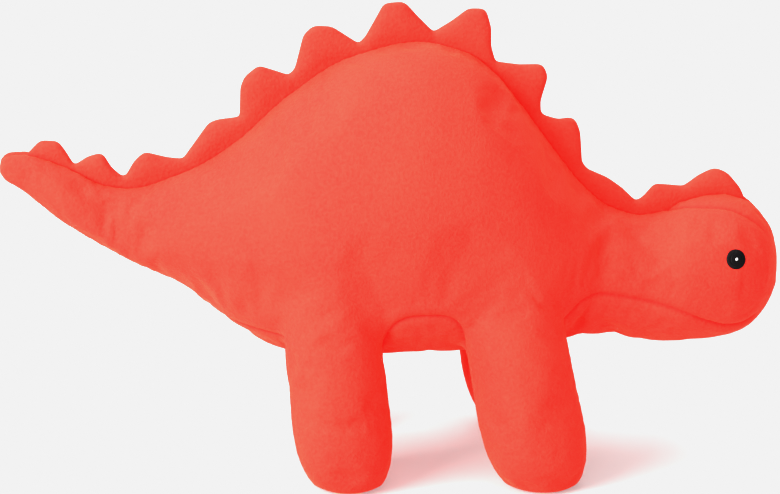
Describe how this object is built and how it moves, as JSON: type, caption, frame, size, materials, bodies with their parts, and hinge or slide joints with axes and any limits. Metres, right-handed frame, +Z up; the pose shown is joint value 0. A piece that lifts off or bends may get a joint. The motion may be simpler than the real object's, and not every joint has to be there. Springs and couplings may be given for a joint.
{
  "type": "stuffed dinosaur",
  "caption": "Soft plush stegosaurus standing on four legs, with a scalloped back crest, tapering tail and embroidered eyes.",
  "frame": {"origin": "on the surface that the feet rest on, under the middle of the toy's bounding box", "axes": "+X towards the nose, +Z up, -Y towards the toy's right side"},
  "size_m": [0.4, 0.141, 0.2467],
  "materials": {
    "coral_velour": "short-pile velour, soft sheen",
    "fibre_fill": "loose polyester fibre",
    "eye_thread": "satin-stitch embroidery",
    "highlight_thread": "satin-stitch embroidery",
    "label_satin": "woven satin ribbon"
  },
  "bodies": {
    "torso": {"back_crest_fill": "fibre_fill", "back_crest_left_layer": "coral_velour", "back_crest_right_layer": "coral_velour", "belly_gusset": "coral_velour", "care_label": "label_satin", "torso_fill": "fibre_fill", "torso_left_panel": "coral_velour", "torso_right_panel": "coral_velour"},
    "head": {"chin_gusset": "coral_velour", "eye_highlight_left": "highlight_thread", "eye_highlight_right": "highlight_thread", "eye_left": "eye_thread", "eye_right": "eye_thread", "forehead_gusset": "coral_velour", "head_crest_fill": "fibre_fill", "head_crest_left_layer": "coral_velour", "head_crest_right_layer": "coral_velour", "head_fill": "fibre_fill", "head_left_panel": "coral_velour", "head_right_panel": "coral_velour"},
    "tail": {"tail_crest_fill": "fibre_fill", "tail_crest_left_layer": "coral_velour", "tail_crest_right_layer": "coral_velour", "tail_fill": "fibre_fill", "tail_left_panel": "coral_velour", "tail_right_panel": "coral_velour"},
    "front_right_leg": {"front_right_leg_fill": "fibre_fill", "front_right_leg_inner_panel": "coral_velour", "front_right_leg_outer_panel": "coral_velour"},
    "front_left_leg": {"front_left_leg_fill": "fibre_fill", "front_left_leg_inner_panel": "coral_velour", "front_left_leg_outer_panel": "coral_velour"},
    "rear_right_leg": {"rear_right_leg_fill": "fibre_fill", "rear_right_leg_inner_panel": "coral_velour", "rear_right_leg_outer_panel": "coral_velour"},
    "rear_left_leg": {"rear_left_leg_fill": "fibre_fill", "rear_left_leg_inner_panel": "coral_velour", "rear_left_leg_outer_panel": "coral_velour"}
  },
  "joints": [
    {"name": "head_turn", "type": "hinge", "parent": "torso", "child": "head", "pos_m": [0.103, 0, 0.108], "axis": [0, 0, 1], "range_deg": [-15, 15], "stiffness_Nm_per_rad": 0.25},
    {"name": "tail_wag", "type": "hinge", "parent": "torso", "child": "tail", "pos_m": [-0.098, 0, 0.125], "axis": [0, 0, 1], "range_deg": [-15, 15], "stiffness_Nm_per_rad": 0.12},
    {"name": "front_right_leg_swing", "type": "hinge", "parent": "torso", "child": "front_right_leg", "pos_m": [0.064, -0.043, 0.08], "axis": [0, 1, 0], "range_deg": [-15, 15], "stiffness_Nm_per_rad": 0.8},
    {"name": "front_left_leg_swing", "type": "hinge", "parent": "torso", "child": "front_left_leg", "pos_m": [0.064, 0.043, 0.08], "axis": [0, 1, 0], "range_deg": [-15, 15], "stiffness_Nm_per_rad": 0.8},
    {"name": "rear_right_leg_swing", "type": "hinge", "parent": "torso", "child": "rear_right_leg", "pos_m": [-0.03, -0.043, 0.08], "axis": [0, 1, 0], "range_deg": [-15, 15], "stiffness_Nm_per_rad": 0.8},
    {"name": "rear_left_leg_swing", "type": "hinge", "parent": "torso", "child": "rear_left_leg", "pos_m": [-0.03, 0.043, 0.08], "axis": [0, 1, 0], "range_deg": [-15, 15], "stiffness_Nm_per_rad": 0.8}
  ]
}
